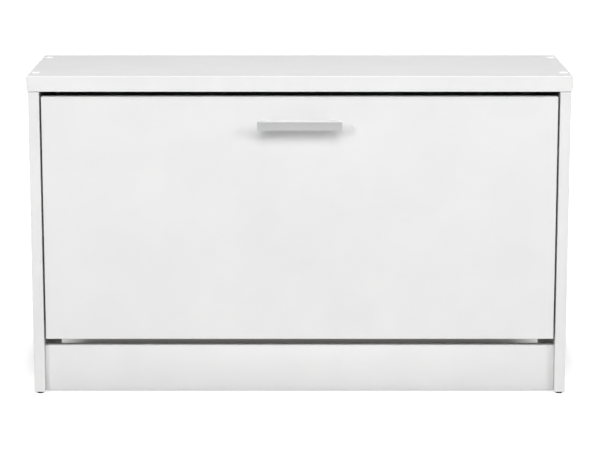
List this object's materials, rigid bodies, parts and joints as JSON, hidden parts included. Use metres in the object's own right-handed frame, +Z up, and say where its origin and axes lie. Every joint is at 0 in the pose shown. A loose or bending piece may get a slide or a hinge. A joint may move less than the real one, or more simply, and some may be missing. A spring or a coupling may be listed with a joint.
{
  "type": "entryway bench",
  "caption": "Low boarded bench that doubles as a shoe cabinet: thick top on side panels, recessed plinth, and a front flap with a bar handle that tilts out with its shoe tray.",
  "frame": {"origin": "on the floor under the middle of the whole object's box, handle projection included", "axes": "+X to the viewer's right along the bench, -Y towards the front (flap and handle), +Z up"},
  "size_m": [0.76, 0.2624, 0.458],
  "materials": {
    "melamine": "satin white melamine on chipboard",
    "back_board": "thin hardboard, white inside and raw outside",
    "tray_board": "thin hardboard, white foil",
    "cap": "glossy white",
    "fitting": "moulded, fine grain",
    "glide": "moulded",
    "handle": "satin",
    "zinc": "zinc plated",
    "beech": "turned beech"
  },
  "bodies": {
    "carcass": {"side_panel_left": "melamine", "side_panel_right": "melamine", "top_panel": "melamine", "plinth": "melamine", "rear_rail": "melamine", "back_panel": "back_board", "top_screw_front_left": "zinc", "screw_cap_front_left": "cap", "glide_front_left": "glide", "top_screw_rear_left": "zinc", "screw_cap_rear_left": "cap", "glide_rear_left": "glide", "plinth_cam_left": "zinc", "plinth_bolt_left": "zinc", "plinth_dowel_left": "beech", "rail_cam_left": "zinc", "rail_bolt_left": "zinc", "rail_dowel_left": "beech", "hinge_pin_left": "zinc", "stop_pin_left": "zinc", "top_screw_front_right": "zinc", "screw_cap_front_right": "cap", "glide_front_right": "glide", "top_screw_rear_right": "zinc", "screw_cap_rear_right": "cap", "glide_rear_right": "glide", "plinth_cam_right": "zinc", "plinth_bolt_right": "zinc", "plinth_dowel_right": "beech", "rail_cam_right": "zinc", "rail_bolt_right": "zinc", "rail_dowel_right": "beech", "hinge_pin_right": "zinc", "stop_pin_right": "zinc", "back_screw_left": "zinc", "back_screw_middle": "zinc", "back_screw_right": "zinc"},
    "flap": {"flap_panel": "melamine", "handle": "handle", "handle_screw_left": "zinc", "tray_bracket_left": "fitting", "bracket_screw_left_1": "zinc", "bracket_screw_left_2": "zinc", "bracket_screw_left_3": "zinc", "handle_screw_right": "zinc", "tray_bracket_right": "fitting", "bracket_screw_right_1": "zinc", "bracket_screw_right_2": "zinc", "bracket_screw_right_3": "zinc", "front_row_floor": "tray_board", "row_divider": "tray_board", "rear_row_floor": "tray_board", "rear_row_back": "tray_board"}
  },
  "joints": [
    {"name": "flap_hinge", "type": "hinge", "parent": "carcass", "child": "flap", "pos_m": [0, -0.07925, 0.12], "axis": [1, 0, 0], "range_deg": [0, 48]}
  ]
}
